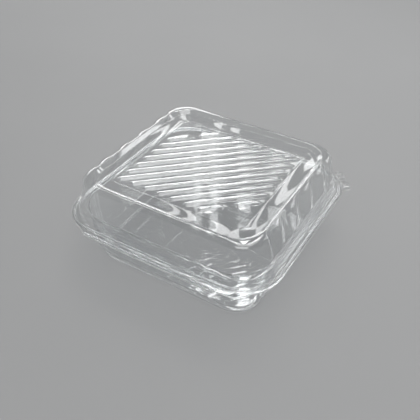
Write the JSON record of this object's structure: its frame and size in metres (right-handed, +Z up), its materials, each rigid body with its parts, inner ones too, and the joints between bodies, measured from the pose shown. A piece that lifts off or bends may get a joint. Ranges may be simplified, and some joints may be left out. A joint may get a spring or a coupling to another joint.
{
  "type": "clear hinged pastry box",
  "caption": "Clear thermoformed pastry box: a rounded tray with a hinged domed lid that has a ribbed, dished top, fluted side walls, a flat flange and corner pull tabs.",
  "frame": {"origin": "on the resting face, below the middle of the flange", "axes": "+Z up from the resting face, +Y from the hinge side to the opening side, +X along the hinge to the pull tabs"},
  "size_m": [0.2038, 0.1958, 0.0805],
  "materials": {
    "clear_sheet": "clear glossy formed sheet"
  },
  "bodies": {
    "base": {"base_tray": "clear_sheet"},
    "lid": {"lid": "clear_sheet"}
  },
  "joints": [
    {"name": "lid_hinge", "type": "hinge", "parent": "base", "child": "lid", "pos_m": [0, -0.0998, 0.046], "axis": [1, 0, 0], "range_deg": [0, 180]}
  ]
}
